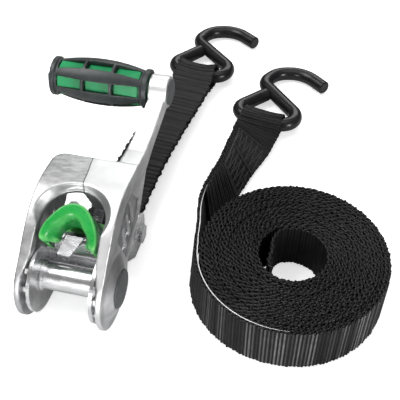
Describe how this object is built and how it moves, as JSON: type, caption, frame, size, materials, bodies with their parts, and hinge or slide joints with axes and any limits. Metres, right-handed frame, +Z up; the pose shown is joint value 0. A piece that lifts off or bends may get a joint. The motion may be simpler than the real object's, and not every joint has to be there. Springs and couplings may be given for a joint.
{
  "type": "ratchet tie down",
  "caption": "Tie down set: ratchet with cast offset handle and spinning grip, short strap with S-hook, and long strap rolled in a coil with S-hook.",
  "frame": {"origin": "middle of the footprint of the whole set, on the table plane", "axes": "+Z up from the table, +Y away from the viewer towards the hooks, +X to the right towards the coil"},
  "size_m": [0.2506, 0.385, 0.1093],
  "materials": {
    "cast_aluminium": "bright satin casting",
    "zinc_plate": "bright zinc plating on pressed steel",
    "spring_steel": "bright wire",
    "dark_cap": "satin dark plastic",
    "green_plastic": "glossy bright green",
    "green_core": "satin green",
    "grip_rubber": "satin charcoal rubber",
    "black_webbing": "woven polyester webbing",
    "coated_hook": "satin vinyl dip coating"
  },
  "bodies": {
    "base": {"base_frame": "zinc_plate", "anchor_bolt": "zinc_plate", "anchor_nut": "zinc_plate", "anchor_sleeve": "zinc_plate", "lock_pawl_spring": "spring_steel"},
    "lock_pawl": {"lock_pawl": "zinc_plate"},
    "spool": {"spool_bar_upper": "zinc_plate", "spool_bar_lower": "zinc_plate", "ratchet_wheel_right": "zinc_plate", "ratchet_wheel_left": "zinc_plate", "spool_collar_right": "zinc_plate", "spool_collar_left": "zinc_plate", "retaining_ring_right": "spring_steel", "retaining_ring_left": "spring_steel"},
    "handle": {"handle_casting": "cast_aluminium", "axle_cap_left": "dark_cap", "axle_cap_right": "dark_cap", "spring_pin": "zinc_plate", "drive_pawl_spring": "spring_steel", "grip_spindle": "zinc_plate", "grip_bolt_cap": "dark_cap"},
    "drive_pawl": {"drive_pawl": "zinc_plate", "release_lever": "green_plastic", "lever_screws": "zinc_plate"},
    "grip": {"grip_end_washer": "zinc_plate", "grip_core": "green_core", "grip_sleeve": "grip_rubber"},
    "short_strap": {"short_strap": "black_webbing"},
    "short_hook": {"short_hook": "coated_hook"},
    "long_strap": {"long_strap": "black_webbing"},
    "long_hook": {"long_hook": "coated_hook"}
  },
  "joints": [
    {"name": "handle_swing", "type": "hinge", "parent": "base", "child": "handle", "pos_m": [-0.0898, -0.1424, 0.0295], "axis": [0.9732, -0.23, 0], "range_deg": [-8, 150]},
    {"name": "spool_spin", "type": "hinge", "parent": "base", "child": "spool", "pos_m": [-0.0898, -0.1424, 0.0295], "axis": [0.9732, -0.23, 0], "continuous": true},
    {"name": "grip_spin", "type": "hinge", "parent": "handle", "child": "grip", "pos_m": [-0.05906, -0.01234, 0.09239], "axis": [0.9732, -0.23, 0], "continuous": true},
    {"name": "drive_pawl_slide", "type": "slide", "parent": "handle", "child": "drive_pawl", "axis": [0.2082, 0.8806, 0.4258], "range_m": [-0.004, 0.003]},
    {"name": "lock_pawl_slide", "type": "slide", "parent": "base", "child": "lock_pawl", "axis": [0.225, 0.9519, -0.2079], "range_m": [-0.004, 0.002]},
    {"name": "short_strap_swing", "type": "hinge", "parent": "base", "child": "short_strap", "pos_m": [-0.07554, -0.08206, 0.0152], "axis": [0.9732, -0.23, 0], "range_deg": [-100, 15]},
    {"name": "short_hook_swing", "type": "hinge", "parent": "short_strap", "child": "short_hook", "pos_m": [-0.0066, 0.11325, 0.0099], "axis": [0.9421, -0.3355, 0], "range_deg": [-45, 120]},
    {"name": "long_strap_lift", "type": "slide", "parent": "base", "child": "long_strap", "axis": [0, 0, 1], "range_m": [0, 0.15]},
    {"name": "long_hook_swing", "type": "hinge", "parent": "long_strap", "child": "long_hook", "pos_m": [0.0499, 0.0461, 0.0099], "axis": [0.9164, -0.4003, 0], "range_deg": [-45, 120]}
  ]
}
